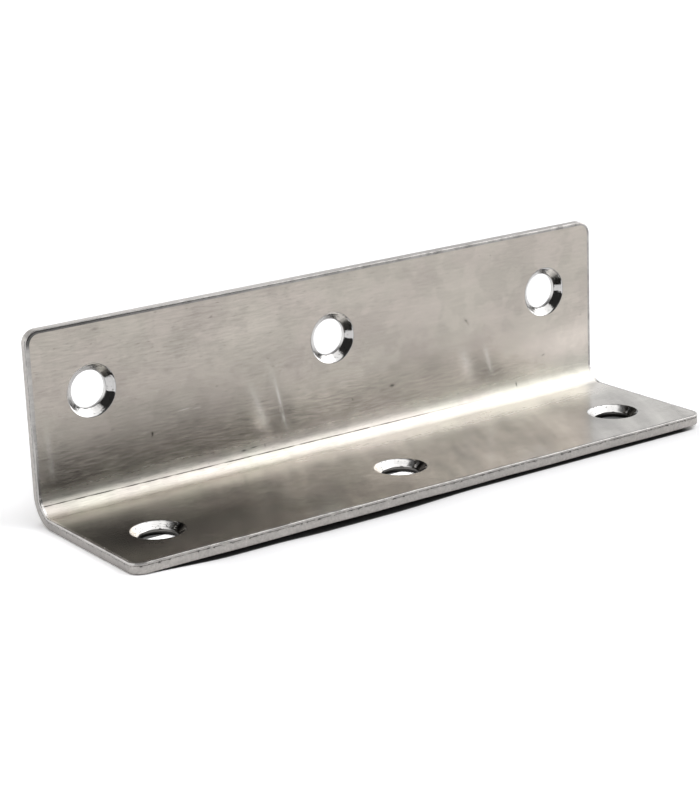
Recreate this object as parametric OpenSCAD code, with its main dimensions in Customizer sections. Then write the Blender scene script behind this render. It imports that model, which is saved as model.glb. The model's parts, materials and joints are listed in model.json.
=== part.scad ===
// Angle bracket: one strip of stainless sheet folded to a right angle, with a row of
// countersunk screw holes in each leg. Millimetres, +Z up.
// X runs along the fold, the upright leg stands at the back (+Y) and the base leg lies
// flat towards the front (-Y). The origin is the middle of the footprint, on the surface
// that the base leg rests on.

/* [Sheet] */
// Length along the fold
length = 90; // [60:1:200]
// Thickness of the sheet
thickness = 1.5; // [1.2:0.1:2.5]
// Inside radius of the fold
bend_r = 2.4; // [1:0.1:5]

/* [Legs] */
// Height of the upright leg, from the outer face of the base leg
upright_h = 25; // [20:0.5:60]
// Depth of the base leg, from the outer face of the upright leg
base_w = 25; // [20:0.5:60]
// Radius of the free corners, seen square to the leg
corner_r = 1.8; // [0.6:0.1:4]

/* [Screw holes] */
// Holes in each leg
hole_count = 3; // [2:1:5]
// Diameter of the drilled hole
hole_d = 5; // [3:0.1:5.5]
// Diameter of the countersink where it breaks the inner face
csk_d = 6.9; // [5.8:0.1:8]
// Full angle of the countersink, in degrees
csk_angle = 100; // [82:1:120]
// Middle of an end hole to the nearer end of the bracket
end_gap = 8.5; // [6:0.5:15]
// Middle of the hole row to the free edge of its leg
edge_gap = 9; // [6:0.5:11]

/* [Cut edges] */
// Radius that the shear rolls over on the outer face
edge_roll = 0.25; // [0.1:0.05:0.5]
// Width of the burr that is broken off the inner face
edge_break = 0.08; // [0.02:0.02:0.2]

/* [Hidden] */
$fn = 96;

steel = [0.72, 0.71, 0.69];
outer_r = bend_r + thickness;
upright_flat = upright_h - outer_r;
base_flat = base_w - outer_r;
hole_pitch = (length - 2 * end_gap) / (hole_count - 1);
csk_depth = (csk_d - hole_d) / 2 / tan(csk_angle / 2);
// How far a cutter runs past the face that it opens
over = 1;

// Half of the section through the sheet: from x = 0 out to a cut edge at x = depth, with
// the outer face at y = 0 rolled over and the inner face's burr broken.
module edge_section(depth) {
    difference() {
        square([depth, thickness]);
        translate([depth - edge_roll, 0])
            difference() {
                square(edge_roll);
                translate([0, edge_roll]) circle(edge_roll);
            }
        translate([depth, thickness])
            polygon([[0, -edge_break], [0, 0], [-edge_break, 0]]);
    }
}

// The section across the whole length, from one cut end to the other.
module sheet_section() {
    edge_section(length / 2);
    mirror([1, 0]) edge_section(length / 2);
}

// One screw hole: drilled through from the outer face at z = 0, and countersunk from the
// inner face at z = thickness.
module screw_hole() {
    translate([0, 0, -over]) cylinder(h = thickness + 2 * over, d = hole_d);
    translate([0, 0, thickness - csk_depth])
        cylinder(
            h = csk_depth + over,
            r1 = hole_d / 2,
            r2 = csk_d / 2 + over * tan(csk_angle / 2)
        );
}

// A flat leg that lies on z = 0 with its inner face up. It runs from the fold at y = 0
// towards -Y for its flat length, and its row of holes keeps edge_gap from the free edge.
module leg(flat) {
    straight = flat - corner_r;
    corner_x = length / 2 - corner_r;
    difference() {
        union() {
            rotate([90, 0, 0]) linear_extrude(straight) sheet_section();
            translate([corner_x, -straight, 0])
                rotate([90, 0, -90])
                linear_extrude(2 * corner_x)
                edge_section(corner_r);
            translate([corner_x, -straight, 0])
                rotate([0, 0, -90])
                rotate_extrude(angle = 90)
                edge_section(corner_r);
            translate([-corner_x, -straight, 0])
                rotate([0, 0, 180])
                rotate_extrude(angle = 90)
                edge_section(corner_r);
        }
        for (i = [0 : hole_count - 1])
            translate([end_gap - length / 2 + i * hole_pitch, edge_gap - flat, 0])
                screw_hole();
    }
}

// The quarter turn that joins the two legs. The section keeps its rolled outer edges round
// the fold, so the edge line runs on from one leg to the other.
module fold() {
    translate([0, 0, outer_r])
        rotate([0, 90, 0])
        rotate_extrude(angle = 90)
        translate([outer_r, 0])
        rotate([0, 0, 90])
        sheet_section();
}

module angle_bracket() {
    color(steel)
        translate([0, base_w / 2 - outer_r, 0]) {
            leg(base_flat);
            fold();
            translate([0, outer_r, outer_r])
                rotate([-90, 0, 180])
                leg(upright_flat);
        }
}

angle_bracket();
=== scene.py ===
"""Brushed stainless angle bracket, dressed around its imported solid.

One sheet folded once: the flat pattern is laid out as (x, t), its detail is added there,
and the fold carries it into place. Lengths are metres, as in the frame, and shaders read
the flat pattern's UV map in millimetres.
"""

import json
import math

import bpy
import numpy as np
from bpy.props import (
    FloatProperty,
    FloatVectorProperty,
    IntProperty,
    PointerProperty,
)
from mathutils import Matrix, Vector


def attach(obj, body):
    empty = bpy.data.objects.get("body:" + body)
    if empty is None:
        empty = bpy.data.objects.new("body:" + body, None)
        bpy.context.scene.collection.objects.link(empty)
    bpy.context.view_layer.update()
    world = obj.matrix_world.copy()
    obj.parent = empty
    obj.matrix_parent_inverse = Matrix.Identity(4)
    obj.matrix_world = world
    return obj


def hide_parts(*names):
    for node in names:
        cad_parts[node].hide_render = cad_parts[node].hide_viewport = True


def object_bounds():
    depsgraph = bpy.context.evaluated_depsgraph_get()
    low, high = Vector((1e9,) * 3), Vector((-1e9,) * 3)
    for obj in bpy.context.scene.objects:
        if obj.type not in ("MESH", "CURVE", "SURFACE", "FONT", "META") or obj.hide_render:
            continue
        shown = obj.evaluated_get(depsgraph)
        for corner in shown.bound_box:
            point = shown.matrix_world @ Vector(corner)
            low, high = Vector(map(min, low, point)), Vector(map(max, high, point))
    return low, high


bl_info = {
    "name": "Folded angle bracket",
    "version": (1, 0, 0),
    "blender": (4, 5, 0),
    "location": "3D View > Sidebar > Bracket",
    "description": "A brushed stainless angle bracket in a plain studio",
    "category": "Object",
}

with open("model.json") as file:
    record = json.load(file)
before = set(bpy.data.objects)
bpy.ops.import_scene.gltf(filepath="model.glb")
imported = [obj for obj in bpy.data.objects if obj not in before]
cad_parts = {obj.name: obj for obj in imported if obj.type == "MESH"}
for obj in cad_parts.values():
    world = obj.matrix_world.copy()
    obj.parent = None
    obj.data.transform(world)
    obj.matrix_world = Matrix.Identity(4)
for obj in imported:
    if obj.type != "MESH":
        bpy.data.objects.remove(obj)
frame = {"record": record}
CAD_LOW, CAD_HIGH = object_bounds()
NODE = "angle_bracket"
BODY = "root"
UV_MAP = "sheet"
MM = 0.001

# Where the outer face, the cut edges and the hole walls start in the UV map, as the v of
# their first row. The inner face starts at 0.
OUTER_V = 0.1
EDGE_V = 0.2
HOLE_V = 0.3


def bores():
    """The record's bores as x, y, z, whether they are in the upright, and radius."""
    rows = []
    for mount in frame["record"]["mounts"]:
        if mount["kind"] == "bore":
            x, y, z = mount["pos_m"]
            upright = abs(mount["axis"][1]) > 0.5
            rows.append((x, y, z, upright, mount["dims"]["r_mm"] * MM))
    return rows


# Sizes and colours


def number_property(name, default, about):
    return FloatProperty(name=name, default=default, description=about)


def length_property(name, default, about):
    """A length, with its default in millimetres."""
    return FloatProperty(
        name=name, default=default * MM, description=about, unit="LENGTH"
    )


def angle_property(name, default, about):
    """An angle, with its default in degrees."""
    return FloatProperty(
        name=name, default=math.radians(default), description=about, subtype="ANGLE"
    )


def share_property(name, default, about):
    return FloatProperty(
        name=name, default=default, description=about, min=0, max=1, subtype="FACTOR"
    )


def color_property(name, default, about):
    return FloatVectorProperty(
        name=name, default=default, description=about, subtype="COLOR"
    )


class BracketSizes(bpy.types.PropertyGroup):
    """Sizes of the sheet, its fold, its holes and its cut edges."""

    thickness: length_property("Sheet thickness", 1.5, "Thickness of the sheet")
    bend_radius: length_property(
        "Inside bend radius", 2.4,
        "Radius of the fold on its inner face",
    )
    corner_radius: length_property(
        "Corner radius", 1.8,
        "Radius of the free corners, seen square to the leg",
    )
    countersink: length_property(
        "Countersink diameter", 6.9,
        "Diameter at which the countersink breaks the inner face",
    )
    countersink_angle: angle_property(
        "Countersink angle", 100,
        "Full angle of the countersink",
    )
    edge_roll: length_property(
        "Outer edge roll", 0.25,
        "Radius that the shear rolled over on the outer face",
    )
    hole_burr: length_property(
        "Hole burr", 0.05,
        "How far the drill's burr stands into a hole",
    )
    ragged: length_property(
        "Raggedness", 0.02,
        "How far the cut edges' rounding wanders in and out",
    )
    crease: length_property(
        "Punch line", 0.02,
        "Depth of the line that the press tool left along the fold",
    )
    ridge: length_property(
        "Fold ridge", 0.12,
        "How far the middle of the fold stands in from a true arc",
    )
    wave: length_property("Waviness", 0.05, "Height of the slow waves in the base leg")
    seed: IntProperty(
        name="Seed",
        description="Seed of the raggedness of the cut edges",
        default=7,
    )


class SteelLook(bpy.types.PropertyGroup):
    """Colours and finish of the steel."""

    sheet_color: color_property(
        "Sheet", (0.500, 0.465, 0.428),
        "Colour of the brushed faces",
    )
    cloud_color: color_property(
        "Sheet's clouds", (0.484, 0.470, 0.418),
        "Colour that the brushed faces drift towards in clouds",
    )
    cool_color: color_property(
        "Base leg's right half", (0.482, 0.467, 0.446),
        "Colour of the brushed face where the base leg is worn neutral",
    )
    warm_color: color_property(
        "Upright leg", (0.510, 0.459, 0.410),
        "Colour that the brushed face of the upright leans towards",
    )
    edge_color: color_property(
        "Cut edges", (0.465, 0.443, 0.422),
        "Colour of the sheared edges",
    )
    hole_color: color_property(
        "Countersinks", (0.63, 0.62, 0.61),
        "Colour of the freshly turned countersinks",
    )
    brushing: share_property(
        "Brushing", 0.8,
        "How far the brush lines spread a reflection across them",
    )
    roughness: share_property("Roughness", 0.20, "Roughness of the brushed faces")
    fold_roughness: share_property(
        "Fold roughness", 0.12,
        "Roughness that stretching added over the fold",
    )


class StudioLook(bpy.types.PropertyGroup):
    """Camera, floor and lights."""

    focal_length: number_property(
        "Focal length", 103.327,
        "Focal length on a 36 mm sensor, in millimetres",
    )
    distance: length_property(
        "Camera distance", 298.846,
        "From the camera to the point that it looks at",
    )
    look_at: FloatVectorProperty(
        name="Look at",
        description="Point in the middle of the picture",
        default=(-3.554 * MM, 2.251 * MM, 10.014 * MM),
        subtype="TRANSLATION",
        unit="LENGTH",
        precision=6,
    )
    azimuth: angle_property(
        "Azimuth", 34.374,
        "Turn of the view to the right of the bracket's depth",
    )
    elevation: angle_property("Elevation", 16.482, "How far the view looks down")
    roll: angle_property("Roll", -2.346, "Turn of the picture about the line of sight")
    floor_color: color_property("Floor", (0.95, 0.95, 0.96), "Colour of the floor")
    floor_gain: number_property(
        "Floor's exposure", 1.22,
        "How much brighter the camera sees the floor than the bracket does",
    )
    floor_sink: length_property(
        "Floor's sink", 0.8,
        "How far the card sinks under the front of the bracket",
    )
    top_light: number_property("Overhead", 1.46, "Brightness of the ceiling")
    left_light: number_property("Left wall", 1.12, "Brightness of the wall to the left")
    right_light: number_property("Right wall", 1.8, "Brightness of the wall to the right")
    back_light: number_property("Back wall", 1.15, "Brightness of the low wall behind")
    behind_light: number_property(
        "Above the back wall", 0.12,
        "Brightness of the room above the back wall",
    )
    key_light: number_property(
        "Soft box", 2.6,
        "Brightness that the soft box to the front right adds",
    )
    dark_side: number_property(
        "Camera side", 0.03,
        "Brightness of the dark opening that the camera looks through",
    )


# Meshes

CREASE_SHARE = 54.5 / 90  # how far round the fold the punch line runs


class FlatPattern:
    """The sheet before it is folded, in metres.

    x runs along the fold and t across it: t is 0 at the base leg's free edge, base_flat
    where the fold starts, base_flat + arc where it ends and width at the upright's free
    edge. Depth is 0 on the outer face and the thickness on the inner one.
    """

    def __init__(self, sizes, low, high):
        self.half = (high.x - low.x) / 2
        self.thickness = sizes.thickness
        self.corner = sizes.corner_radius
        self.outer_r = sizes.bend_radius + sizes.thickness
        self.axis_y = high.y - self.outer_r
        self.axis_z = low.z + self.outer_r
        self.base_flat = self.axis_y - low.y
        self.arc = math.pi / 2 * (sizes.bend_radius + sizes.thickness / 2)
        self.width = self.base_flat + self.arc + high.z - self.axis_z
        self.crease_t = self.base_flat + self.arc * CREASE_SHARE
        self.crease = sizes.crease
        self.ridge = sizes.ridge
        self.wave = sizes.wave

    def t_of(self, y, z, upright):
        """Place across the pattern of a point on a leg."""
        if upright:
            return self.base_flat + self.arc + z - self.axis_z
        return self.base_flat + y - self.axis_y

    def waviness(self, x, t):
        """Slow waves of the sheet: cosines along x, from 0 up, that fade at the fold."""
        on_base = 1 / (1 + np.exp((t - 0.8 * self.base_flat) / (1.2 * MM)))
        phase = 2 * np.pi * (x - 4 * MM) / (17 * MM) + 1.1 * np.sin(x / (13 * MM))
        along = 0.5 - 0.5 * np.cos(phase)
        across = 0.6 + 0.4 * np.cos(t / (5 * MM))
        return self.wave * on_base * along * across

    def groove(self, x, t):
        """Depth of the punch line: a narrow bell across the fold, a little askew."""
        middle = self.crease_t - CREASE_SLANT * x
        return self.crease * np.exp(-(((t - middle) / (0.07 * MM)) ** 2))

    def fold(self, x, t, depth):
        """Places of pattern points on the folded sheet.

        Over the fold the angle grows with t to a quarter turn, at radius outer_r - depth
        about the fold's axis. The sheet lies flat before it and stands up after it. The
        inner face rises by the ridge times sin(2 angle) squared.
        """
        share = np.clip(depth / self.thickness, 0, 1)
        angle = np.clip((t - self.base_flat) / self.arc, 0, 1) * (np.pi / 2)
        inner = self.ridge * np.sin(2 * angle) ** 2 - self.groove(x, t)
        depth = depth + self.waviness(x, t) + share * inner
        flat = np.minimum(t - self.base_flat, 0)
        rise = np.maximum(t - self.base_flat - self.arc, 0)
        radius = self.outer_r - depth
        y = self.axis_y + radius * np.sin(angle) + flat
        z = self.axis_z - radius * np.cos(angle) + rise
        return np.stack([x, y, z], -1)


class Patches:
    """Grids of (x, t, depth) points that are welded into one closed surface."""

    def __init__(self):
        self.points, self.uvs, self.quads, self.tris = [], [], [], []
        self.quad_marks, self.tri_marks = [], []
        self.count = 0

    def add(self, points, uv):
        """Adds points and returns the number of the first."""
        first = self.count
        self.points.append(points.reshape(-1, 3))
        self.uvs.append(uv.reshape(-1, 2))
        self.count += len(self.points[-1])
        return first

    def grid(self, points, uv, mark, flip=False, keep=None):
        """A grid of rows and columns of points, as quads that face along row x column."""
        rows, cols = points.shape[:2]
        index = self.add(points, uv) + np.arange(rows * cols).reshape(rows, cols)
        a, b = index[:-1, :-1], index[1:, :-1]
        c, d = index[1:, 1:], index[:-1, 1:]
        quads = np.stack([a, d, c, b] if flip else [a, b, c, d], -1)
        quads = quads[keep] if keep is not None else quads.reshape(-1, 4)
        self.quads.append(quads)
        self.quad_marks.append(np.full(len(quads), mark))

    def triangles(self, tris, mark, flip=False):
        self.tris.append(tris[:, ::-1] if flip else tris)
        self.tri_marks.append(np.full(len(tris), mark))

    def mesh(self, name, pattern):
        """Welds points that share a place on the pattern, folds them and fills a mesh."""
        points = np.concatenate(self.points)
        uv = np.concatenate(self.uvs)
        quads, tris = np.concatenate(self.quads), np.concatenate(self.tris)
        keys = np.round(points / 1e-8).astype(np.int64)
        _, first, weld = np.unique(keys, axis=0, return_index=True, return_inverse=True)
        places = pattern.fold(*points[first].T)
        corners = np.concatenate([quads.ravel(), tris.ravel()])
        sides = np.concatenate([np.full(len(quads), 4), np.full(len(tris), 3)])
        marks = np.concatenate(self.quad_marks + self.tri_marks)
        mesh = bpy.data.meshes.new(name)
        mesh.vertices.add(len(places))
        mesh.vertices.foreach_set("co", places.astype(np.float32).ravel())
        mesh.loops.add(len(corners))
        mesh.loops.foreach_set("vertex_index", weld.ravel()[corners].astype(np.int32))
        mesh.polygons.add(len(sides))
        starts = np.concatenate([[0], np.cumsum(sides)[:-1]])
        mesh.polygons.foreach_set("loop_start", starts.astype(np.int32))
        mesh.polygons.foreach_set("material_index", marks.astype(np.int32))
        mesh.update(calc_edges=True)
        layer = mesh.uv_layers.new(name=UV_MAP)
        layer.data.foreach_set("uv", uv[corners].astype(np.float32).ravel())
        mesh.shade_smooth()
        mesh.set_sharp_from_angle(angle=math.radians(33))
        if mesh.validate():
            raise ValueError(f"{name} has faces that Blender had to repair")
        return mesh


def spaced(breaks, counts):
    """Grid lines: each stretch between two breaks is divided evenly."""
    parts = [np.linspace(a, b, n + 1)[:-1] for a, b, n in zip(breaks, breaks[1:], counts)]
    return np.concatenate(parts + [breaks[-1:]])


def smooth_step(value, start, end):
    """0 at start, 1 at end, and 3 s^2 - 2 s^3 of the share s of the way between them."""
    share = np.clip((value - start) / (end - start), 0, 1)
    return share * share * (3 - 2 * share)


def smooth_noise(rng, count, spread):
    """Periodic noise of unit height: white noise blurred round the loop by a bell curve.

    Its last value repeats its first.
    """
    wave = np.fft.rfftfreq(count) * spread * 2 * np.pi
    white = np.fft.rfft(rng.standard_normal(count))
    values = np.fft.irfft(white * np.exp(-(wave**2) / 2), count)
    return np.append(values, values[0]) / np.abs(values).max()


FACE, EDGE, HOLE = 0, 1, 2
CREASE_SLANT = 0.002  # how much nearer the base the punch line gets along the fold
RIM_STEPS = np.array([0, 0.3, 0.55, 0.75, 0.88, 0.96, 1.0])
CELL = 4.5 * MM  # half the width of the square cell round a hole
CELL_SIDE = 24  # grid lines per side of that cell
CELL_RINGS = np.array([0, 0.04, 0.12, 0.28, 0.5, 0.75, 1.0])
CORNER_STEPS = 8
FINE = 4  # points of the cut edge for each point of the face's outline
INNER_MARGIN = 0.52 * MM  # from the outline to the last ring of each face
OUTER_MARGIN = 0.42 * MM
RIM = 0.06 * MM  # from a hole's edge to the first ring of the face round it

# The rounding of the inner face's edge, in mm in from the outline and below the face:
# tight along the base leg, and wide along the top of the upright.
TIGHT = np.array([
    (0.14, 0), (0.105, 0.004), (0.075, 0.012), (0.05, 0.025),
    (0.03, 0.042), (0.014, 0.065), (0.004, 0.09), (0, 0.12),
]) * MM
WIDE = np.array([
    (0.30, 0), (0.22, 0.006), (0.16, 0.018), (0.11, 0.034),
    (0.07, 0.054), (0.035, 0.080), (0.010, 0.110), (0, 0.15),
]) * MM


class Sheet:
    """Builds the sheet's patches on its flat pattern."""

    def __init__(self, sizes, pattern, holes):
        self.sizes, self.pattern, self.holes = sizes, pattern, holes
        self.patches = Patches()
        rc, half, width = pattern.corner, pattern.half, pattern.width
        hole_x = sorted({round(x, 9) for x, t, r in holes})
        hole_t = sorted({round(t, 9) for x, t, r in holes})
        self.hole_x, self.hole_t = np.array(hole_x), np.array(hole_t)
        x_breaks = [-half + rc]
        for x in hole_x:
            x_breaks += [x - CELL, x + CELL]
        x_breaks.append(half - rc)
        x_counts = [
            CELL_SIDE if i % 2 else max(2, round((b - a) / (0.75 * MM)))
            for i, (a, b) in enumerate(zip(x_breaks, x_breaks[1:]))
        ]
        fold_a, fold_b = pattern.base_flat, pattern.base_flat + pattern.arc
        crease = pattern.crease_t
        near = 0.3 * MM
        t_breaks = [rc, hole_t[0] - CELL, hole_t[0] + CELL, fold_a,
                    crease - near, crease + near, fold_b,
                    hole_t[1] - CELL, hole_t[1] + CELL, width - rc]
        t_counts = [5, CELL_SIDE, 12, 16, 16, 10, 12, CELL_SIDE, 5]
        self.x_mid = spaced(np.array(x_breaks), x_counts)
        self.t_mid = spaced(np.array(t_breaks), t_counts)

    def lines(self, mid, margin):
        """Grid lines through the margins as well: rim strips as wide as the corners."""
        strip = RIM_STEPS[1:] * (self.pattern.corner - margin)
        return np.concatenate([mid[0] - strip[::-1], mid, mid[-1] + strip])

    def face(self, depth, margin, ring, v_start, flip):
        """One face: a grid with square cells left out for holes and rounded corners."""
        x = self.lines(self.x_mid, margin)
        t = self.lines(self.t_mid, margin)
        grid_x, grid_t = np.meshgrid(x, t, indexing="ij")
        centre_x = (x[1:] + x[:-1])[:, None] / 2
        centre_t = (t[1:] + t[:-1])[None, :] / 2
        in_hole = (np.abs(centre_x[..., None] - self.hole_x).min(-1) < CELL) & (
            np.abs(centre_t[..., None] - self.hole_t).min(-1) < CELL
        )
        in_corner = (np.abs(centre_x) > self.x_mid[-1]) & (
            (centre_t < self.t_mid[0]) | (centre_t > self.t_mid[-1])
        )
        self.flat_grid(grid_x, grid_t, depth, v_start, flip, ~(in_hole | in_corner))
        for hx, ht, radius in self.holes:
            self.cell_round_hole(hx, ht, ring(radius), depth, v_start, flip)
        for sx in (-1, 1):
            for st in (-1, 1):
                self.corner_fan(sx, st, depth, margin, v_start, flip)

    def flat_grid(self, grid_x, grid_t, depth, v_start, flip, keep=None):
        points = np.stack([grid_x, grid_t, np.full_like(grid_x, depth)], -1)
        uv = np.stack([grid_x, grid_t + v_start], -1)
        self.patches.grid(points, uv, FACE, flip, keep)

    def cell_round_hole(self, hx, ht, radius, depth, v_start, flip):
        """From a circle to the square cell: each ring is a mix of the two outlines."""
        side = np.linspace(-1, 1, CELL_SIDE + 1)[:-1] * CELL
        low, high = np.full(CELL_SIDE, -CELL), np.full(CELL_SIDE, CELL)
        square_x = np.concatenate([side, high, -side, low, [-CELL]])
        square_t = np.concatenate([low, side, high, -side, [-CELL]])
        angle = np.radians(225) + np.linspace(0, 2 * np.pi, 4 * CELL_SIDE + 1)
        circle = circle_points(angle, radius)
        mix = CELL_RINGS[None, :]
        grid_x = hx + circle[0][:, None] * (1 - mix) + square_x[:, None] * mix
        grid_t = ht + circle[1][:, None] * (1 - mix) + square_t[:, None] * mix
        self.flat_grid(grid_x, grid_t, depth, v_start, not flip)

    def corner_fan(self, sx, st, depth, margin, v_start, flip):
        """A quarter disc of rings round the corner's centre, closed there by a fan."""
        cx = sx * self.x_mid[-1]
        ct = self.t_mid[-1] if st > 0 else self.t_mid[0]
        angle = np.linspace(0, np.pi / 2, CORNER_STEPS + 1)
        radius = RIM_STEPS * (self.pattern.corner - margin)
        grid_x = cx + sx * np.cos(angle)[:, None] * radius[None, :]
        grid_t = ct + st * np.sin(angle)[:, None] * radius[None, :]
        turned = (sx * st > 0) != flip
        self.flat_grid(grid_x[:, 1:], grid_t[:, 1:], depth, v_start, turned)
        tip_x = np.concatenate([[cx], grid_x[:, 1]])
        tip_t = np.concatenate([[ct], grid_t[:, 1]])
        points = np.stack([tip_x, tip_t, np.full_like(tip_x, depth)], -1)
        first = self.patches.add(points, np.stack([tip_x, tip_t + v_start], -1))
        k = np.arange(CORNER_STEPS)
        fan = first + np.stack([np.zeros_like(k), k + 1, k + 2], -1)
        self.patches.triangles(fan, FACE, flip=(sx * st < 0) != flip)

    def outline(self):
        """The rounded outline, anticlockwise: core points, the angle of their outward
        normal, and the way along. A point of the outline is core + radius * normal."""
        x, t = self.x_mid, self.t_mid
        turn = np.linspace(0, 1, CORNER_STEPS + 1)[1:-1]
        sides = [
            (x, np.full_like(x, t[0])),
            (np.full_like(t, x[-1]), t),
            (x[::-1], np.full_like(x, t[-1])),
            (np.full_like(t, x[0]), t[::-1]),
        ]
        core_x, core_t, angle = [], [], []
        for i, (sx, st) in enumerate(sides):
            core_x += [sx, np.full(len(turn), sx[-1])]
            core_t += [st, np.full(len(turn), st[-1])]
            start = np.radians(-90 + 90 * i)
            angle += [np.full(len(sx), start), start + turn * np.pi / 2]
        core_x, core_t, angle = map(np.concatenate, (core_x, core_t, angle))
        core_x = np.append(core_x, core_x[0])
        core_t = np.append(core_t, core_t[0])
        angle = np.append(angle, angle[0] + 2 * np.pi)
        return core_x, core_t, angle

    def cut_edge(self):
        """The edge's profile carried round the outline, with a ragged burr and roll."""
        pattern, sizes = self.pattern, self.sizes
        th, roll = pattern.thickness, sizes.edge_roll
        core_x, core_t, angle = self.outline()
        coarse = len(core_x) - 1
        at = np.arange(coarse * FINE + 1) / FINE
        fx, ft, fa = (
            np.interp(at, np.arange(coarse + 1), v) for v in (core_x, core_t, angle)
        )
        rng = np.random.default_rng(sizes.seed)
        count = coarse * FINE
        wander = 0.6 * smooth_noise(rng, count, 3) + smooth_noise(rng, count, 20)
        wander = sizes.ragged * wander
        torn = 0.5 + 0.5 * smooth_noise(rng, count, 5)
        dent = np.clip(smooth_noise(rng, count, 2.5) - 0.35, 0, 1) * 0.05 * MM
        one = np.ones_like(torn)
        wide = (0.15 + 0.85 * np.clip(np.sin(fa), 0, 1))[:, None]
        rolled = [
            (-roll * (1 - math.cos(a)), roll * (1 - math.sin(a)))
            for a in np.radians([0, 20, 42, 66, 90])
        ]
        rounded = TIGHT + (WIDE - TIGHT) * wide[..., None]
        profile = [(-INNER_MARGIN + 0.08 * MM, th * one)]
        last = len(TIGHT) - 1
        for k, (inward, down) in enumerate(np.moveaxis(rounded, 0, -1)):
            share = (k / len(TIGHT)) ** 2
            profile.append((-inward - share * (wander + dent) * (k < last), th - down))
        profile += [
            (-0.002 * MM, th - 0.42 * MM - 0.05 * MM * torn),
            (-0.006 * MM - 0.02 * MM * torn, th - 0.5 * MM - 0.05 * MM * torn),
            (-0.004 * MM - 0.02 * MM * torn[::-1], 0.5 * th * one),
        ]
        profile += [(off - 0.004 * MM, depth * one) for off, depth in rolled[:-1]]
        profile += [(rolled[-1][0], 0 * one), (-OUTER_MARGIN + 0.08 * MM, 0 * one)]
        offset = np.minimum(np.stack([o * one for o, _ in profile], 1), 0)
        depth = np.stack([d * one for _, d in profile], 1)
        out = pattern.corner + offset
        x = fx[:, None] + out * np.cos(fa)[:, None]
        t = ft[:, None] + out * np.sin(fa)[:, None]
        points = np.stack([x, t, depth], -1)
        step = np.hypot(np.diff(offset.mean(0)), np.diff(depth.mean(0)))
        down = np.concatenate([[0], np.cumsum(step)])
        corner = len(TIGHT)
        down += (th - depth[:, corner].mean()) - down[corner]
        way = np.hypot(np.diff(x[:, corner]), np.diff(t[:, corner]))
        along = np.concatenate([[0], np.cumsum(way)])
        uv = np.stack(np.broadcast_arrays(along[:, None], EDGE_V + down[None, :]), -1)
        self.patches.grid(points, uv, EDGE, flip=True)
        self.seam(core_x, core_t, angle, points[:, 0], INNER_MARGIN, th, 0.0, False)
        self.seam(core_x, core_t, angle, points[:, -1], OUTER_MARGIN, 0.0, OUTER_V, True)

    def seam(self, core_x, core_t, angle, fine, margin, depth, v_start, flip):
        """Joins a face's last ring to the finer first row of the cut edge."""
        out = self.pattern.corner - margin
        x, t = core_x + out * np.cos(angle), core_t + out * np.sin(angle)
        ring = np.stack([x, t, np.full_like(x, depth)], -1)
        v = np.array([0, v_start])
        c = self.patches.add(ring, ring[:, :2] + v) + np.arange(len(x) - 1)
        f = self.patches.add(fine, fine[:, :2] + v) + np.arange(len(x) - 1) * FINE
        fans = [np.stack([c + 1, c, f + FINE // 2], -1)]
        for i in range(FINE):
            hub = c if i < FINE // 2 else c + 1
            fans.append(np.stack([hub, f + i, f + i + 1], -1))
        self.patches.triangles(np.concatenate(fans), FACE, flip)

    def hole_wall(self, hx, ht, radius):
        """A turned countersink: its profile of radius and depth, swept round the axis."""
        sizes, th = self.sizes, self.pattern.thickness
        wide, ring = sizes.countersink / 2, outer_ring(radius)
        radius = radius - sizes.hole_burr
        slope = math.tan(sizes.countersink_angle / 2)
        deep = (wide - radius) / slope
        cone = np.linspace(0.04, 0.97, 8)
        profile = [
            (wide + RIM, th),
            (wide + 0.4 * RIM, th - 0.003 * MM),
            (wide, th - 0.018 * MM),
            *[(wide - (wide - radius) * c, th - deep * c) for c in cone],
            (radius + 0.01 * MM, th - deep - 0.01 * MM),
            (radius, th - deep - 0.08 * MM),
            (radius, 0.5 * (th - deep)),
            (radius, 0.10 * MM),
            (radius + 0.02 * MM, 0.04 * MM),
            (radius + 0.06 * MM, 0.006 * MM),
            (ring, 0.0),
        ]
        r, depth = np.array(profile).T
        angle = np.radians(225) + np.linspace(0, 2 * np.pi, 4 * CELL_SIDE + 1)
        cos, sin = circle_points(angle, 1.0)
        x = hx + cos[:, None] * r[None, :]
        t = ht + sin[:, None] * r[None, :]
        points = np.stack([x, t, np.broadcast_to(depth, x.shape)], -1)
        down = np.concatenate([[0], np.cumsum(np.hypot(np.diff(r), np.diff(depth)))])
        around = (angle - angle[0]) * wide + hx + 2 * ht
        uv = np.stack(np.broadcast_arrays(around[:, None], HOLE_V + down[None, :]), -1)
        self.patches.grid(points, uv, HOLE)

    def build(self, name):
        sizes, th = self.sizes, self.pattern.thickness
        self.face(th, INNER_MARGIN, lambda r: sizes.countersink / 2 + RIM, 0.0, False)
        self.face(0.0, OUTER_MARGIN, outer_ring, OUTER_V, True)
        self.cut_edge()
        for hole in self.holes:
            self.hole_wall(*hole)
        return self.patches.mesh(name, self.pattern)


def outer_ring(radius):
    """Radius at which the outer face starts round a drilled hole."""
    return radius + 0.12 * MM


def circle_points(angle, radius):
    """cos and sin of the angles times the radius, with the last equal to the first."""
    cos, sin = np.cos(angle) * radius, np.sin(angle) * radius
    cos[-1], sin[-1] = cos[0], sin[0]
    return cos, sin


# Shader maths


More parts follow.
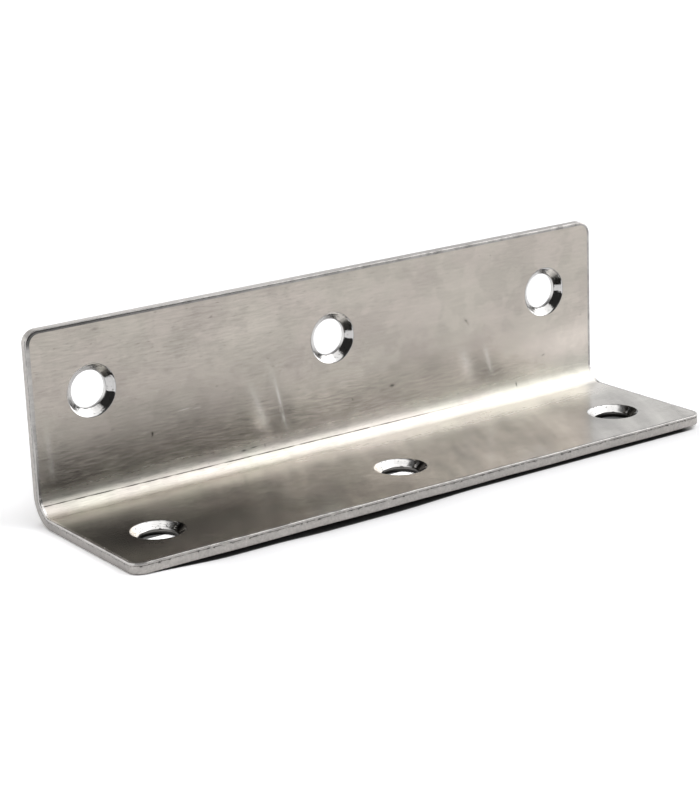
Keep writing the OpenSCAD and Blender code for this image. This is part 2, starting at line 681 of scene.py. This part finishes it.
class Value:
    """A node's output that adds Math nodes when it is used in an expression."""

    def __init__(self, graph, socket):
        self.graph, self.socket = graph, socket

    def maths(self, operation, *inputs):
        return self.graph.node("Math", inputs, operation=operation)

    def __add__(self, other):
        return self.maths("ADD", self, other)

    def __radd__(self, other):
        return self.maths("ADD", other, self)

    def __sub__(self, other):
        return self.maths("SUBTRACT", self, other)

    def __rsub__(self, other):
        return self.maths("SUBTRACT", other, self)

    def __mul__(self, other):
        return self.maths("MULTIPLY", self, other)

    def __rmul__(self, other):
        return self.maths("MULTIPLY", other, self)

    def __truediv__(self, other):
        return self.maths("DIVIDE", self, other)

    def __pow__(self, other):
        return self.maths("POWER", self, other)

    def __neg__(self):
        return self.maths("MULTIPLY", self, -1.0)

    def clamp(self, low=0.0, high=1.0):
        return self.graph.node("Clamp", (self, low, high))

    def ramp(self, start, end, low=0.0, high=1.0):
        """Smooth step from low at start to high at end."""
        return self.graph.node(
            "MapRange", (self, start, end, low, high), interpolation_type="SMOOTHSTEP"
        )

    def bell(self):
        """exp(-value), for a value that is 0 at the middle of a mark."""
        return self.maths("EXPONENT", -self)


class Graph:
    """A node tree, and the one way in which its nodes are made."""

    def __init__(self, owner):
        owner.use_nodes = True
        self.tree = owner.node_tree
        self.tree.nodes.clear()

    def node(self, kind, inputs=(), output=0, **settings):
        """Adds a node, sets its settings and then the values or links of its sockets."""
        made = self.tree.nodes.new("ShaderNode" + kind)
        for name, value in settings.items():
            setattr(made, name, value)
        pairs = inputs.items() if isinstance(inputs, dict) else enumerate(inputs)
        for key, value in pairs:
            if isinstance(value, Value):
                self.tree.links.new(value.socket, made.inputs[key])
            else:
                made.inputs[key].default_value = value
        return Value(self, made.outputs[output]) if len(made.outputs) else None

    def mix(self, share, a, b):
        """Colour mix of a and b."""
        return self.node("Mix", {0: share, 6: a, 7: b}, output=2, data_type="RGBA")

    def tint(self, color, value):
        """A colour times a number."""
        if not isinstance(color, Value):
            color = tuple(color)[:3]
        return self.node("VectorMath", {0: color, 3: value}, operation="SCALE")

    def vector(self, x, y, z=0.0):
        return self.node("CombineXYZ", (x, y, z))

    def noise(self, vector, detail=2.0, rough=0.5, scale=1.0):
        """Noise between 0 and 1 about 0.5."""
        inputs = {"Vector": vector, "Scale": scale, "Detail": detail, "Roughness": rough}
        return self.node("TexNoise", inputs)


def rgba(color):
    return (*color[:3], 1.0)


def sheet_places(graph):
    """The UV map as millimetres along and across the flat pattern."""
    uv = graph.node("UVMap", uv_map=UV_MAP)
    x = graph.node("SeparateXYZ", (uv,), output=0) * 1000.0
    t = graph.node("SeparateXYZ", (uv,), output=1) * 1000.0
    return x, t


def solid_places(graph):
    """The place on the folded sheet, in millimetres."""
    place = graph.node("TexCoord", output="Object")
    return [graph.node("SeparateXYZ", (place,), output=i) * 1000.0 for i in range(3)]


def new_material(name):
    material = bpy.data.materials.new(name)
    graph = Graph(material)
    return material, graph


def steel(graph, **sockets):
    """The steel shader: metal, with the sockets given."""
    names = {"Metallic": 1.0, **{k.replace("_", " "): v for k, v in sockets.items()}}
    shader = graph.node("BsdfPrincipled", names)
    graph.node("OutputMaterial", (shader,))


def bell_at(value, middle, width):
    """1 where the value is at the middle, falling on a bell curve of that half width."""
    return (((value - middle) / width) ** 2.0).bell()


def mark(x, t, at, size, turn=0.0):
    """1 at a mark on the sheet and 0 away from it: a bell of that size, turned."""
    dx, dt = x - at[0], t - at[1]
    if turn:
        cos, sin = math.cos(math.radians(turn)), math.sin(math.radians(turn))
        dx, dt = dx * cos + dt * sin, dt * cos - dx * sin
    return ((dx / size[0]) ** 2.0 + (dt / size[1]) ** 2.0).bell()


# Near white, for the painted glints of the streaks.
GLINT_COLOR = (1.0, 0.98, 0.93)
LIP_COLOR = (0.48, 0.465, 0.45)
EDGE_SHADE = (0.03, 0.03, 0.03)
# The drilled walls are painted dark in the base leg and light in the upright: painted
# shade and light.
SHADED_BASE_WALL = (0.26, 0.25, 0.24)  # the drilled walls in the base leg
LIT_UPRIGHT_WALL = (0.72, 0.71, 0.70)
HALF_PITCH = 18.25  # half the way from one hole to the next, in mm
ROW_Y = -3.5  # the base leg's row of holes, in mm
AWAY = (0.825, -0.565)  # way across the base leg in which its cones are painted dark

# Marks on the inner face: along, across, half length, half width (mm), turn (degrees) and
# strength.
SPECKS = (
    (-28.28, 30.72, 0.14, 0.26, 0, 1.0),
    (-18.59, 44.44, 0.20, 0.08, 30, 0.5),
    (-18.34, 35.11, 0.14, 0.10, 0, 0.5),
    (9.50, 29.66, 0.36, 0.16, 0, 0.9),
    (22.42, 36.40, 0.42, 0.10, -60, 0.3),
    (22.80, 36.00, 0.10, 0.30, 20, 0.25),
    (2.86, 29.05, 0.10, 0.18, 20, 0.7),
    (22.54, 36.46, 0.20, 0.10, -35, 0.4),
    (36.16, 28.94, 0.26, 0.08, 10, 0.6),
    (27.0, 44.99, 0.10, 0.10, 0, 0.4),
    (-14.8, 25.45, 0.35, 0.16, 0, 0.7),
    (-13.2, 25.60, 0.55, 0.10, 4, 0.7),
    (31.1, 25.3, 0.12, 0.35, 0, 0.5),
    (2.47, 19.93, 0.55, 0.07, 4, 0.6),
    (-35.46, 45.89, 0.50, 0.20, 0, 0.3),
    (-11.5, 25.5, 0.12, 0.30, 0, 0.35),
    (31.1, 25.6, 0.14, 0.30, 0, 0.35),
)
# Painted glints: pale streaks and thin scratch lines where dents and scratches catch the
# light.
GLINT_STREAKS = (
    (-12.9, 33.3, 0.50, 1.7, 22, 0.10),
    (-12.1, 31.0, 0.50, 1.7, 22, 0.22),
    (-11.3, 29.0, 0.55, 1.3, 21, 0.28),
    (-9.85, 34.5, 0.45, 1.4, 9, 0.08),
    (-8.8, 31.3, 0.24, 2.2, 12, 0.55),
    (-8.35, 28.8, 0.19, 0.5, 12, 0.90),
    (-7.9, 27.6, 0.45, 0.8, 20, 0.30),
    (26.2, 30.1, 0.40, 1.9, 16, 0.36),
    (26.6, 28.9, 0.35, 0.8, 16, 0.20),
    (22.5, 30.1, 0.90, 2.0, 23, 0.24),
    (22.9, 35.0, 0.9, 0.8, 0, 0.05),
    (-43.0, 31.5, 0.40, 2.6, 3, 0.20),
    (-42.9, 29.2, 0.35, 1.0, 3, 0.25),
    (-23.3, 33.0, 0.8, 0.06, 3, 0.40),
    (-21.6, 32.8, 0.6, 0.05, 3, 0.30),
)
# Patches that darken the faces by their strength, or lighten them where it is below 0.
# Some are stains, the rest are painted shade and painted light, such as the painted shade
# over the base leg's left front for its dark reflection.
STAIN_LIGHT_AND_SHADE_PATCHES = (
    (-30.0, 6.0, 14.5, 6.5, 0, 0.54),
    (-40.5, 10.5, 6.5, 7.0, 0, 0.60),
    (-3.0, 30.0, 8.0, 3.2, 0, -0.26),
    (5.0, 31.5, 3.5, 3.0, 0, -0.14),
    (-12.0, 41.5, 6.0, 3.0, 0, -0.13),
    (20.0, 36.0, 5.0, 3.0, 0, -0.08),
    (-40.5, 44.0, 3.0, 2.5, 0, -0.12),
    (41.0, 31.0, 3.0, 3.0, 0, -0.08),
    (-21.0, 30.0, 4.0, 2.5, 0, 0.08),
    (-15.0, 32.5, 4.0, 3.0, 0, 0.07),
    (32.0, 31.0, 3.0, 3.0, 0, 0.07),
    (-6.0, 16.5, 6.0, 3.0, 0, 0.10),
    (-26.0, 17.0, 9.0, 3.0, 0, 0.10),
    (31.6, 10.0, 3.0, 2.6, 0, 0.10),
    (33.0, 12.0, 3.0, 8.0, 0, 0.24),
    (29.0, 4.5, 5.0, 2.6, 0, 0.16),
    (21.0, 9.0, 14.0, 6.0, 0, 0.22),
    (40.0, 38.0, 8.0, 8.0, 0, 0.05),
    (-33.0, 14.5, 9.0, 4.0, 0, 0.14),
    (-15.0, 28.5, 6.0, 3.0, 0, -0.10),
    (-26.0, 33.5, 15.0, 4.0, 0, 0.13),
    (-12.9, 5.0, 3.5, 4.0, 0, 0.14),
    (16.6, 15.5, 4.0, 2.2, 0, 0.14),
    (19.7, 6.3, 4.0, 2.5, 0, 0.12),
    (34.7, 18.2, 2.5, 1.6, 0, 0.12),
    (16.2, 31.2, 2.6, 1.4, 0, 0.10),
    (18.5, 36.6, 1.6, 1.6, 0, 0.06),
)


def marks(x, t, table):
    """The marks of a table, added up."""
    total = 0.0
    for along, across, half_length, half_width, turn, strength in table:
        bell = mark(x, t, (along, across), (half_length, half_width), turn)
        total = strength * bell + total
    return total


def brushed_sheet(look, pattern):
    """The faces: wavy brush lines, clouds of tone and hue, marks of handling, and painted
    light, shade and reflections.
    """
    material, graph = new_material("brushed_stainless")
    x, t = sheet_places(graph)
    wavy = t + 0.4 * graph.noise(graph.vector(x * 0.12, t * 0.3, 2.0), 1.0)
    lines = graph.noise(graph.vector(x * 0.45, t * 3.4), 2.0, 0.6) - 0.5
    bands = graph.noise(graph.vector(x * 0.12, wavy * 0.7, 4.0), 2.0, 0.55) - 0.5
    cloud = graph.noise(graph.vector(x * 0.075, t * 0.13, 9.0), 2.0, 0.5) - 0.5
    blotch = graph.noise(graph.vector(x * 0.20, t * 0.17, 41.0), 3.0, 0.6)
    blotch = blotch.ramp(0.46, 0.54) - 0.5
    skewed = (x - t * 0.45) * 0.30
    folds = graph.noise(graph.vector(skewed, t * 0.05, 51.0), 2.0, 0.6) - 0.5
    scratch = graph.noise(graph.vector(x * 0.5, wavy * 6.0, 13.0), 2.0, 0.5)
    scratch = scratch.ramp(0.66, 0.76)
    dash = graph.noise(graph.vector(x * 1.1, t * 5.0, 27.0), 2.0, 0.5).ramp(0.64, 0.72)
    start, end = pattern.base_flat / MM, (pattern.base_flat + pattern.arc) / MM
    over_fold = t.ramp(start - 0.8, start + 0.8) * t.ramp(end + 1.2, end - 0.3)
    fresh = x.ramp(30.0, -20.0, 0.45, 1.0)
    shade = 1.0 + 0.66 * lines * fresh + 0.14 * bands + 0.36 * cloud + 0.08 * blotch
    # Over the fold the faces are also painted a little lighter: a painted highlight.
    shade = shade + 0.12 * scratch - 0.30 * dash * fresh + 0.04 * over_fold
    # Painted reflection: light and dark slanted patches over the base leg, right of its
    # left end, for the reflections of its slow waves.
    shade = shade + 0.90 * folds * t.ramp(21.0, 18.0) * x.ramp(-34.0, -20.0)
    # Painted light: a band low on the upright is painted lighter towards its right end.
    shade = shade + 0.34 * x.ramp(20.0, 41.0) * bell_at(t, 30.0, 2.6)
    # Painted reflection: a band of the base leg beside the fold is painted lighter, more
    # so towards the right, for the fold's highlight seen in it. The same band adds
    # roughness.
    painted_sheen_by_fold = bell_at(t, start - 1.0, 3.2) * x.ramp(-40.0, 22.0)
    shade = shade + 0.52 * painted_sheen_by_fold
    shade = shade * (1.0 - marks(x, t, SPECKS)) * (1.0 - marks(x, t, STAIN_LIGHT_AND_SHADE_PATCHES))
    drift = 0.04 * graph.noise(graph.vector(x * 0.2, 0.0, 17.0), 2.0)
    # Painted shade: a thin dark line along the punch line's groove, broken up and fading
    # out to the right.
    crease = bell_at(t + drift + CREASE_SLANT * x, pattern.crease_t / MM + 0.02, 0.10)
    faint = graph.noise(graph.vector(x * 0.4, 0.0, 31.0), 2.0).ramp(0.25, 0.6)
    shade = shade * (1.0 - 0.95 * crease * faint * x.ramp(24.0, 8.0))
    hue = graph.noise(graph.vector(x * 0.12, t * 0.14, 21.0), 2.0).ramp(0.38, 0.62)
    color = graph.mix(hue, rgba(look.sheet_color), rgba(look.cloud_color))
    cool = t.ramp(25.0, 21.0) * x.ramp(-25.0, 8.0)
    color = graph.mix(0.85 * cool, color, rgba(look.cool_color))
    color = graph.mix(0.6 * t.ramp(25.0, 29.0), color, rgba(look.warm_color))
    color = graph.tint(color, shade)
    # The glint streaks are mixed towards near white: painted highlights.
    color = graph.mix(marks(x, t, GLINT_STREAKS).clamp(), color, rgba(GLINT_COLOR))
    rough = look.roughness + look.fold_roughness * over_fold
    rough = rough + 0.12 * lines + 0.12 * cloud + 0.10 * painted_sheen_by_fold
    height = 0.4 * lines + 0.4 * bands + 0.3 * scratch
    bump = graph.node(
        "Bump", {"Strength": 1.0, "Distance": 0.008 * MM, "Height": height}
    )
    steel(graph, Base_Color=color, Roughness=rough, Normal=bump,
          Anisotropic=look.brushing, Anisotropic_Rotation=0.25)
    return material


def sheared_edge(look):
    """The cut edges: matt and mottled, with dark pits just below the rounding, and painted
    light and shade on the left end, the top edge and the rounding.
    """
    material, graph = new_material("sheared_edge")
    x, t = sheet_places(graph)
    along, _, height = solid_places(graph)
    top = height.ramp(24.3, 24.7)
    down = t - EDGE_V / MM
    grain = graph.noise(graph.vector(x * 2.6, down * 2.2), 4.0, 0.65) - 0.5
    patch = graph.noise(graph.vector(x * 0.35, down * 0.4, 3.0), 2.0, 0.5) - 0.5
    speck = graph.noise(graph.vector(x * 1.5, down * 2.4, 8.0), 2.0, 0.6)
    broken = graph.noise(graph.vector(x * 0.7, 0.0, 12.0), 3.0, 0.6)
    pits = speck.ramp(0.56, 0.62) * bell_at(down, 0.40, 0.13)
    pits = (pits + 0.8 * broken.ramp(0.38, 0.52) * bell_at(down, 0.36, 0.06)).clamp()
    end = along.ramp(-44.4, -44.8) * (1.0 - top)
    low = end * height.ramp(5.0, 2.5)
    lip = (down - 0.15 * low).ramp(0.26, 0.14)
    # Painted light: the left end face is painted lighter, and the top edge lighter towards
    # its left.
    shade = 0.98 + 0.9 * grain + 0.4 * patch + 0.15 * end
    shade = shade + 0.35 * top * along.ramp(8.0, -14.0)
    worn = graph.noise(graph.vector(x * 0.35, 0.0, 44.0), 3.0, 0.6).ramp(0.35, 0.6)
    color = graph.tint(rgba(look.edge_color), shade * (1.0 - 0.85 * pits * (1.0 - top)))
    # The rounding's tone varies at random. On top of that it is painted lighter on the
    # left end face, most low down, and along the left of the top edge, and darker along
    # the top edge's right: painted highlight and shade.
    pale = 0.62 + 0.35 * worn + 0.12 * end + 0.43 * low
    pale = pale + top * (0.35 - 0.50 * along.ramp(-14.0, 8.0))
    bright = graph.tint(rgba(LIP_COLOR), pale)
    color = graph.mix(lip, color, bright)
    # Painted reflection: a black line where the top edge's rounding leaves the inner face,
    # strongest at the left and fading out to the right.
    inside = height.ramp(22.5, 23.5) * down.ramp(0.12, 0.05) * along.ramp(12.0, -18.0)
    inside = inside * along.ramp(-20.0, -40.0, 0.55, 0.8)
    color = graph.mix(inside, color, rgba(EDGE_SHADE))
    rough = 0.34 - 0.10 * lip + 0.2 * grain
    bump = graph.node(
        "Bump", {"Strength": 1.0, "Distance": 0.02 * MM, "Height": grain - pits}
    )
    steel(graph, Base_Color=color, Roughness=rough, Normal=bump)
    return material


def turned_hole(look):
    """The holes: bright cones with the cutter's chatter, and duller drilled walls, with
    painted shade and reflections on both.
    """
    material, graph = new_material("turned_countersink")
    x, t = sheet_places(graph)
    along, across, height = solid_places(graph)
    raised = height.ramp(5.0, 6.0)
    down = t - HOLE_V / MM
    rings = graph.noise(graph.vector(x * 0.05, down * 9.0), 2.0, 0.5) - 0.5
    chatter = graph.noise(graph.vector(x * 0.9, down * 0.7, 5.0), 2.0, 0.5) - 0.5
    speck = graph.noise(graph.vector(x * 2.4, down * 3.0, 11.0), 2.0, 0.6)
    speck = speck.ramp(0.62, 0.68)
    wall = down.ramp(1.33, 1.39)
    shade = (1.0 + 0.4 * rings) * (1.0 - 0.85 * speck)
    # Painted shade: the cone is painted darker at its outer rim and in a dark line where
    # it meets the drilled wall.
    shade = shade * (1.0 - 0.5 * down.ramp(0.10, 0.05))
    shade = shade * (1.0 - 0.8 * bell_at(down, 1.35, 0.05))
    # Painted reflection: the base leg's cones end in a dark wedge, painted where they
    # reflect the dark opening on the camera's side.
    beside = along.maths("WRAP", along, HALF_PITCH, -HALF_PITCH)
    aside = beside * AWAY[0] + (across - ROW_Y) * AWAY[1] + 0.8 * chatter
    wedge = aside.ramp(1.9, 2.3) * (1.0 - raised)
    color = graph.tint(rgba(look.hole_color), shade * (1.0 - 0.9 * wedge))
    # Painted shade and light: the drilled walls are painted dark in the base leg, darker
    # still towards its outer face, and light in the upright.
    bored = graph.mix(raised, rgba(SHADED_BASE_WALL), rgba(LIT_UPRIGHT_WALL))
    bored = graph.tint(bored, 1.0 - 0.8 * (1.0 - raised) * down.ramp(1.55, 1.65))
    color = graph.mix(wall, color, bored)
    rough = 0.07 + 0.10 * rings + 0.25 * wall
    bump = graph.node(
        "Bump", {"Strength": 1.0, "Distance": 0.035 * MM, "Height": 0.3 * rings + chatter}
    )
    steel(graph, Base_Color=color, Roughness=rough, Normal=bump)
    return material


def floor_finish(color, gain):
    """Plain white card, exposed brighter for the camera so that it is as white as paper.

    The card has a painted shadow, dark in a strip under the front edge and soft in front
    of it.
    It has painted light in the part that shows through the base leg's holes and to the
    bracket's left, and painted shade at the holes' far side.
    """
    material, graph = new_material("floor_card")
    x, y, _ = solid_places(graph)
    seen = graph.node("LightPath", output="Is Camera Ray")
    # Painted shadow: a dark strip under the front edge (under) and a soft one in front of
    # it (soft). Painted light where the card shows through the base leg's holes and to the
    # bracket's left (lit), and painted shade at the holes' far side (far).
    hidden = y.ramp(-9.0, -10.0)
    under = x.ramp(-43.8, -41.5) * x.ramp(44.0, 41.5) * y.ramp(-12.52, -12.2) * hidden
    inside = y.ramp(-9.0, -8.0) * y.ramp(11.0, 9.0)
    inside = inside * x.ramp(-44.0, -43.0) * x.ramp(44.0, 43.0)
    far = y + 0.35 * x.ramp(-15.0, -30.0) + 1.7 * x.ramp(15.0, 30.0)
    far = inside * far.ramp(-1.75, -1.35)
    left = x.ramp(-43.0 + 7.0 * y.ramp(-9.0, -6.0), -45.0)
    lit = inside + left * (0.20 + 0.24 * y.ramp(14.0, 3.0))
    soft = x.ramp(-40.0, -33.0) * x.ramp(46.0, 42.0) * y.ramp(-18.0, -12.5) * hidden
    shade = (1.0 - 0.92 * under) * (1.0 - 0.15 * soft) * (1.0 - 0.92 * far)
    shown = graph.tint(rgba(color), (1.0 + (gain - 1.0 + lit) * seen) * shade)
    shader = graph.node("BsdfDiffuse", {"Color": shown})
    graph.node("OutputMaterial", (shader,))
    return material


def studio_walls(world, studio):
    """White walls, a soft box to the front right and a dark opening on the camera's side.

    Azimuth is measured in degrees from the front towards +X, and elevation upwards.
    """
    graph = Graph(world)
    way = graph.node("TexCoord", output="Generated")
    x = graph.node("SeparateXYZ", (way,), output=0)
    y = graph.node("SeparateXYZ", (way,), output=1)
    z = graph.node("SeparateXYZ", (way,), output=2)
    azimuth = x.maths("ARCTAN2", x, -y) * (180 / math.pi)
    elevation = z.maths("ARCSINE", z) * (180 / math.pi)
    right = bell_at(azimuth, 75.0, 45.0)
    wall = studio.left_light + (studio.right_light - studio.left_light) * right
    low = elevation.ramp(42.0, 12.0)
    rear = studio.behind_light + (studio.back_light - studio.behind_light) * low
    back = azimuth.maths("ABSOLUTE", azimuth).ramp(105.0, 138.0)
    wall = wall + (rear - wall) * back
    high = elevation.ramp(50.0 + 16.0 * back, 80.0 + 8.0 * back)
    level = wall + (studio.top_light - wall) * high
    key = bell_at(azimuth, 66.0, 15.0) * bell_at(elevation, 31.0, 38.0)
    level = level + studio.key_light * key
    level = level + 0.6 * bell_at(azimuth, 44.0, 14.0) * bell_at(elevation, 0.0, 9.0)
    top = azimuth.ramp(10.0, 36.0, 46.0, 34.0) + azimuth.ramp(-26.0, -33.0, 0.0, 22.0)
    top = top + azimuth.ramp(4.0, -8.0, 0.0, 10.0)
    opening = (
        azimuth.ramp(-66.0, -58.0) * azimuth.ramp(38.0, 32.0)
        * (elevation - top).ramp(0.0, -8.0)
    )
    level = level + (studio.dark_side - level) * opening
    level = level + 1.5 * bell_at(azimuth, 4.0, 8.0) * bell_at(elevation, 6.0, 14.0)
    seen = graph.node("LightPath", output="Is Camera Ray")
    level = level + (1.0 - level) * seen
    background = graph.node("Background", ((1.0, 1.0, 1.0, 1.0), level))
    graph.node("OutputWorld", (background,))


# Operators


class BRACKET_OT_sheet(bpy.types.Operator):
    """Build the folded sheet with its countersunk holes and cut edges"""

    bl_idname = "bracket.sheet"
    bl_label = "Build the bracket"

    def execute(self, context):
        sizes, look = context.scene.bracket_sizes, context.scene.bracket_steel
        pattern = FlatPattern(sizes, CAD_LOW, CAD_HIGH)
        holes = [(x, pattern.t_of(y, z, up), r) for x, y, z, up, r in bores()]
        mesh = Sheet(sizes, pattern, holes).build("folded_sheet")
        # The texture space lies far along Y, so that the tangent that Blender derives
        # from it runs along x, with the brush lines, all over the sheet.
        mesh.use_auto_texspace = False
        mesh.texspace_location = (0, 1000, 0)
        mesh.texspace_size = (1, 1, 1)
        for material in (
            brushed_sheet(look, pattern), sheared_edge(look), turned_hole(look)
        ):
            mesh.materials.append(material)
        piece = bpy.data.objects.new("folded_sheet", mesh)
        context.scene.collection.objects.link(piece)
        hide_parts(NODE)
        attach(piece, BODY)
        return {"FINISHED"}


class BRACKET_OT_studio(bpy.types.Operator):
    """Build the floor, the lights and the camera"""

    bl_idname = "bracket.studio"
    bl_label = "Build the studio"

    def execute(self, context):
        scene, studio = context.scene, context.scene.bracket_studio
        scene.view_settings.view_transform = "Standard"
        scene.world = bpy.data.worlds.new("studio")
        studio_walls(scene.world, studio)
        self.make_floor(scene, studio)
        self.make_camera(scene, studio)
        return {"FINISHED"}

    def make_floor(self, scene, studio):
        """A card that carries the bracket's left end and its fold, and sinks a little
        under the rest of the base leg: a depth times smooth steps along x and y."""
        near = np.linspace(-0.06, 0.06, 121)
        line = np.concatenate([[-2, -0.6, -0.2], near, [0.2, 0.6, 2]])
        x, y = np.meshgrid(line, line, indexing="ij")
        along = (
            0.76 * smooth_step(x, -45 * MM, -31 * MM)
            + 0.22 * smooth_step(x, -26 * MM, -17 * MM)
            - 0.40 * smooth_step(x, -8 * MM, 6 * MM)
        )
        sunk = studio.floor_sink * along * smooth_step(-y, 5 * MM, 9.5 * MM)
        places = np.stack([x, y, CAD_LOW.z - sunk], -1).reshape(-1, 3)
        index = np.arange(x.size).reshape(x.shape)
        quads = np.stack(
            [index[:-1, :-1], index[1:, :-1], index[1:, 1:], index[:-1, 1:]], -1
        )
        mesh = bpy.data.meshes.new("floor")
        mesh.from_pydata(places.tolist(), [], quads.reshape(-1, 4).tolist())
        mesh.shade_smooth()
        mesh.materials.append(floor_finish(studio.floor_color, studio.floor_gain))
        floor = bpy.data.objects.new("floor", mesh)
        scene.collection.objects.link(floor)

    def make_camera(self, scene, studio):
        """The camera looks along (sin a cos e, cos a cos e, -sin e), rolled about it."""
        sin_a, cos_a = math.sin(studio.azimuth), math.cos(studio.azimuth)
        sin_e, cos_e = math.sin(studio.elevation), math.cos(studio.elevation)
        sight = Vector((sin_a * cos_e, cos_a * cos_e, -sin_e))
        right = Vector((cos_a, -sin_a, 0))
        up = right.cross(sight)
        cos_r, sin_r = math.cos(studio.roll), math.sin(studio.roll)
        right, up = right * cos_r + up * sin_r, up * cos_r - right * sin_r
        data = bpy.data.cameras.new("camera")
        data.lens = studio.focal_length
        data.sensor_width = 36.0
        data.clip_start, data.clip_end = 0.01, 20.0
        camera = bpy.data.objects.new("camera", data)
        turn = Matrix((right, up, -sight)).transposed().to_4x4()
        turn.translation = Vector(studio.look_at) - sight * studio.distance
        camera.matrix_world = turn
        scene.collection.objects.link(camera)
        scene.camera = camera


class BRACKET_PT_panel(bpy.types.Panel):
    """The bracket's sizes, finish and studio in the sidebar"""

    bl_label = "Angle bracket"
    bl_idname = "BRACKET_PT_panel"
    bl_space_type = "VIEW_3D"
    bl_region_type = "UI"
    bl_category = "Bracket"

    def draw(self, context):
        for group in ("bracket_sizes", "bracket_steel", "bracket_studio"):
            settings = getattr(context.scene, group)
            box = self.layout.box()
            for name in settings.__annotations__:
                box.prop(settings, name)
        self.layout.operator(BRACKET_OT_sheet.bl_idname)
        self.layout.operator(BRACKET_OT_studio.bl_idname)


CLASSES = (
    BracketSizes,
    SteelLook,
    StudioLook,
    BRACKET_OT_sheet,
    BRACKET_OT_studio,
    BRACKET_PT_panel,
)


def register():
    for cls in CLASSES:
        bpy.utils.register_class(cls)
    bpy.types.Scene.bracket_sizes = PointerProperty(type=BracketSizes)
    bpy.types.Scene.bracket_steel = PointerProperty(type=SteelLook)
    bpy.types.Scene.bracket_studio = PointerProperty(type=StudioLook)


def unregister():
    del bpy.types.Scene.bracket_studio
    del bpy.types.Scene.bracket_steel
    del bpy.types.Scene.bracket_sizes
    for cls in reversed(CLASSES):
        bpy.utils.unregister_class(cls)


def main():
    register()
    bpy.ops.bracket.sheet()
    bpy.ops.bracket.studio()


if __name__ == "__main__":
    main()
